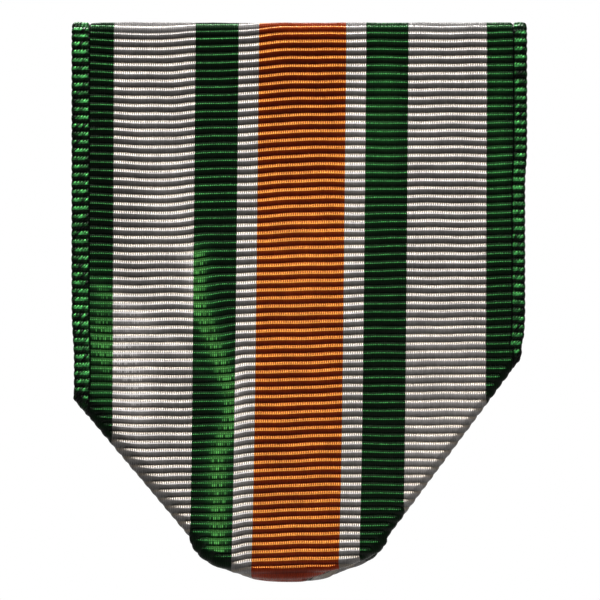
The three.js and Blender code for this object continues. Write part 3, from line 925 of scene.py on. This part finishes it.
def thread_material():
    """Dark green sewing thread with fine fibres."""
    n = Nodes("sewing_thread")
    place = n.node("ShaderNodeTexCoord").outputs["Object"]
    fibres = n.noise(place, 9000.0)
    colour = n.mix(fibres, (0.008, 0.06, 0.018, 1), (0.03, 0.17, 0.05, 1))
    roughness = n.range(fibres, 0.3, 0.7, 0.45, 0.7)
    return n.finish(base_color=colour, roughness=roughness, normal=n.bump(fibres, 0.02 * MM))


def metal_material(name, clean, aged, streaks):
    """Stamped or drawn metal with a brushed grain, small dents and darker tarnish in places."""
    n = Nodes(name)
    place = n.node("ShaderNodeTexCoord").outputs["Object"]
    grain = n.noise(n.stretched(place, streaks), 1.0, detail=4.0, roughness=0.65)
    cloud = n.noise(place, 260.0, detail=5.0, roughness=0.6)
    pits = n.noise(place, 2600.0, roughness=0.6)
    colour = n.mix(n.range(cloud, 0.42, 0.68), (*clean, 1), (*aged, 1))
    roughness = n.plus(n.range(cloud, 0.3, 0.75, 0.2, 0.42), n.times(grain, 0.14))
    normal = n.bump(pits, 0.01 * MM, n.bump(grain, 0.012 * MM))
    return n.finish(base_color=colour, roughness=roughness, metallic=1.0, normal=normal)


# ---- Sewn seam ----
STITCH_COUNT = 11
STITCH_PITCH = 2.8
STITCH_LENGTH = 1.7
STITCH_STEPS = 44
STITCH_INSET = 0.16  # from the CAD thread's back face to the middle line of a stitch
STITCH_DIP = 0.28  # how deep a stitch's two ends go down into the ribbon
TWIST_RADIUS = 0.075  # from a stitch's middle line to the middle of each of its plies
TWIST_TURNS = 4.5
PLY_RADIUS = 0.062
PLY_SIDES = 8


def tube(line, radius, sides):
    """The points and faces of a closed round tube along a line of points."""
    run = np.gradient(line, axis=0)
    run /= np.linalg.norm(run, axis=1)[:, None]
    side = np.cross(run, [0, 0, 1])
    side /= np.linalg.norm(side, axis=1)[:, None]
    up = np.cross(side, run)
    turn = np.linspace(0, 2 * math.pi, sides, endpoint=False)[None, :, None]
    rings = line[:, None] + radius * (side[:, None] * np.cos(turn) + up[:, None] * np.sin(turn))
    numbers = np.arange(len(line) * sides).reshape(len(line), sides)
    following = np.roll(numbers, -1, axis=1)
    quads = np.stack([numbers[:-1], following[:-1], following[1:], numbers[1:]], -1)
    caps = [numbers[0][::-1].tolist(), numbers[-1].tolist()]
    return rings.reshape(-1, 3), quads.reshape(-1, 4).tolist() + caps


def seam_stitches():
    """The running stitches that show on the back panel, each a twist of two plies."""
    low, high = corners_mm("seam_thread")
    seam_z = (low[2] + high[2]) / 2
    surface_y = high[1] - STITCH_INSET
    first_x = -((STITCH_COUNT - 1) * STITCH_PITCH + STITCH_LENGTH) / 2
    t = np.linspace(0, 1, STITCH_STEPS)
    points, faces, count = [], [], 0
    for i in range(STITCH_COUNT):
        x = first_x + i * STITCH_PITCH + STITCH_LENGTH * t
        y = surface_y - STITCH_DIP * np.abs(2 * t - 1) ** 8 + 0.02 * math.sin(i * 2.1)
        z = seam_z + 0.05 * math.sin(i * 1.7) * (2 * t - 1)
        for first_turn in (0, math.pi):
            turn = first_turn + t * 2 * math.pi * TWIST_TURNS
            line = np.stack([x, y + TWIST_RADIUS * np.cos(turn), z + TWIST_RADIUS * np.sin(turn)], 1)
            ply_points, ply_faces = tube(line, PLY_RADIUS, PLY_SIDES)
            faces += [[count + number for number in face] for face in ply_faces]
            points.append(ply_points)
            count += len(ply_points)
    mesh = new_mesh("seam_stitches", np.concatenate(points), faces)
    finish_mesh(mesh)
    return add_object("seam_stitches", mesh)


# ---- Carried-over metal ----
WELD_GAP = 0.001
SAME_FLAT = math.radians(1)  # faces that turn less than this from each other are one flat
SHARP_EDGE = math.radians(35)  # edges that turn more than this are rounded


def finish_metal(node, material, bevel):
    """Gives a CAD node its metal, and soft edges that catch the light."""
    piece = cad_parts[node]
    piece.data.materials.clear()
    piece.data.materials.append(material)
    weld = piece.modifiers.new("weld", "WELD")
    weld.merge_threshold = WELD_GAP * MM
    flats = piece.modifiers.new("whole_flats", "DECIMATE")
    flats.decimate_type = "DISSOLVE"
    flats.angle_limit = SAME_FLAT
    edge = piece.modifiers.new("soft_edges", "BEVEL")
    edge.width = bevel * MM
    edge.segments = 3
    edge.limit_method = "ANGLE"
    edge.angle_limit = SHARP_EDGE
    normals = piece.modifiers.new("even_flats", "WEIGHTED_NORMAL")
    normals.mode = "FACE_AREA"
    normals.weight = 100
    for face in piece.data.polygons:
        face.use_smooth = True


# ---- Stage ----
FLOOR_HALF = 600
FLOOR_DROP = 62  # below the drape, so that its shadow stays out of the picture
FLOOR_GLOW = 0.72  # added only for the camera, so that the ground looks white and lights nothing
ROOM_LIGHT = 0.22
BACKDROP = 1.0
PICTURE_WIDTH = 46.05  # how wide the camera sees at the ribbon's front
PICTURE_X, PICTURE_Z = 0.05, -16.7
LENS, SENSOR = 200, 36  # a long lens, so that the view is nearly without perspective


def add_floor():
    """A plain pale floor far below the drape."""
    z = BOTTOM_Z - FLOOR_DROP
    corners = np.array([(-1, -1), (1, -1), (1, 1), (-1, 1)]) * FLOOR_HALF
    floor = new_mesh("floor", np.column_stack([corners, np.full(4, z)]), [(0, 1, 2, 3)])
    n = Nodes("pale_floor")
    shade = n.noise(n.node("ShaderNodeTexCoord").outputs["Object"], 40.0)
    pale = n.mix(shade, (0.8, 0.8, 0.8, 1), (0.84, 0.84, 0.83, 1))
    glow = n.times(n.node("ShaderNodeLightPath").outputs["Is Camera Ray"], FLOOR_GLOW)
    floor.materials.append(
        n.finish(base_color=pale, roughness=0.9, emission_color=pale, emission_strength=glow)
    )
    return add_object("floor", floor)


def add_light(name, place, watts, size, spread, colour):
    """A round soft spot aimed at the middle of the drape."""
    lamp = bpy.data.lights.new(name, "SPOT")
    lamp.spot_size = math.radians(spread)
    lamp.spot_blend = 1.0
    lamp.shadow_soft_size = size * MM / 2
    lamp.energy = watts
    lamp.color = colour
    made = add_object(name, lamp)
    way = np.array(place) - np.array([0, MIDDLE_Y, (TOP_Z + BOTTOM_Z) / 2])
    made.location = np.array(place) * MM
    tilt = math.atan2(math.hypot(way[0], way[1]), way[2])
    made.rotation_euler = (tilt, 0, math.atan2(way[1], way[0]) + math.pi / 2)


def add_room():
    """An even soft light from all round. The camera sees it as a white backdrop."""
    world = bpy.data.worlds.new("studio")
    world.use_nodes = True
    tree = world.node_tree
    background = tree.nodes["Background"]
    background.inputs["Color"].default_value = (1, 1, 1, 1)
    path = tree.nodes.new("ShaderNodeLightPath")
    mix = tree.nodes.new("ShaderNodeMix")
    mix.data_type = "FLOAT"
    tree.links.new(path.outputs["Is Camera Ray"], mix.inputs[0])
    mix.inputs[2].default_value = ROOM_LIGHT
    mix.inputs[3].default_value = BACKDROP
    tree.links.new(mix.outputs[0], background.inputs["Strength"])
    bpy.context.scene.world = world
    bpy.context.scene.view_settings.view_transform = "Standard"


def add_camera():
    """Straight in front of the drape."""
    lens = bpy.data.cameras.new("camera")
    lens.lens = LENS
    lens.sensor_width = SENSOR
    lens.clip_start = 0.01
    camera = add_object("camera", lens)
    distance = PICTURE_WIDTH * LENS / SENSOR
    camera.location = np.array([PICTURE_X, LOW[1] - distance, PICTURE_Z]) * MM
    camera.rotation_euler = (math.radians(90), 0, 0)
    bpy.context.scene.camera = camera


# ---- The object ----
ribbon = woven_ribbon()
ribbon.data.materials.append(ribbon_material())
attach(ribbon, "drape")
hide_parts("ribbon")

stitches = seam_stitches()
stitches.data.materials.append(thread_material())
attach(stitches, "drape")
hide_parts("seam_thread")

brass = metal_material("brass", clean=(0.74, 0.53, 0.24), aged=(0.5, 0.33, 0.13), streaks=(350, 9000, 9000))
steel = metal_material("steel", clean=(0.7, 0.71, 0.72), aged=(0.5, 0.5, 0.5), streaks=(300, 9000, 9000))
for node in ("inner_bar", "back_plate", "plate_rivet_left", "plate_rivet_right"):
    finish_metal(node, brass, bevel=0.06)
for node in ("hinge_bracket", "catch_housing", "catch_rotor"):
    finish_metal(node, brass, bevel=0.05)
for node in ("hinge_rivet", "pin_stem"):
    finish_metal(node, steel, bevel=0.04)

add_floor()
add_light("top_front", (0, -280, 440), watts=21, size=70, spread=26, colour=(1, 0.985, 0.96))
add_light("top_back", (-120, 300, 420), watts=14, size=120, spread=30, colour=(1, 0.98, 0.96))
add_room()
add_camera()
